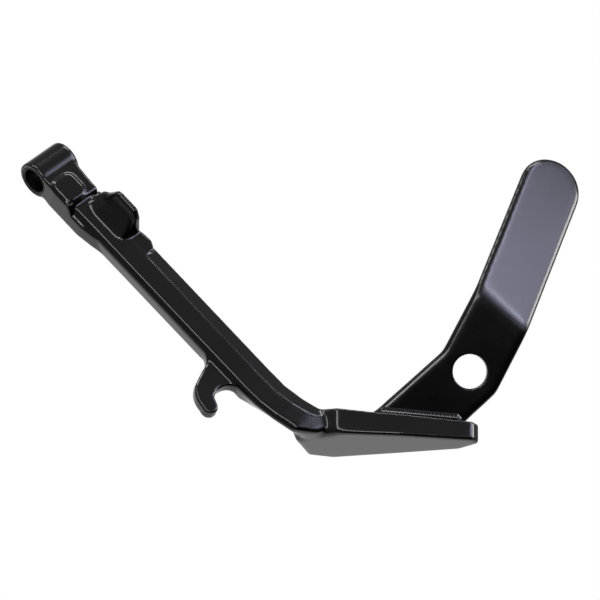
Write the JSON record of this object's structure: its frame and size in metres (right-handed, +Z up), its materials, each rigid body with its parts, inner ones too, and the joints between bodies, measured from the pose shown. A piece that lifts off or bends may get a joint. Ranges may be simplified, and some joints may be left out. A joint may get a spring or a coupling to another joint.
{
  "type": "motorcycle kickstand",
  "caption": "Side stand for a motorcycle: a forged leg with a pivot eye, spring hook and flat-soled foot, and a plate lever to push it out with a boot.",
  "frame": {"origin": "on the pivot bore's axis, where the leg's centre line crosses it", "axes": "the stand is deployed on level ground: +X points outboard, +Y rearward and +Z up; the sole lies flat at Z = -155 mm"},
  "size_m": [0.2974, 0.1078, 0.1703],
  "materials": {
    "gloss_black": "gloss black powder coat over steel, with fine orange peel",
    "bush_steel": "dark phosphated steel, turned"
  },
  "bodies": {
    "root": {"leg_forging": "gloss_black", "foot_lever": "gloss_black", "weld_front": "gloss_black", "weld_rear": "gloss_black", "pivot_bush": "bush_steel"}
  },
  "joints": []
}
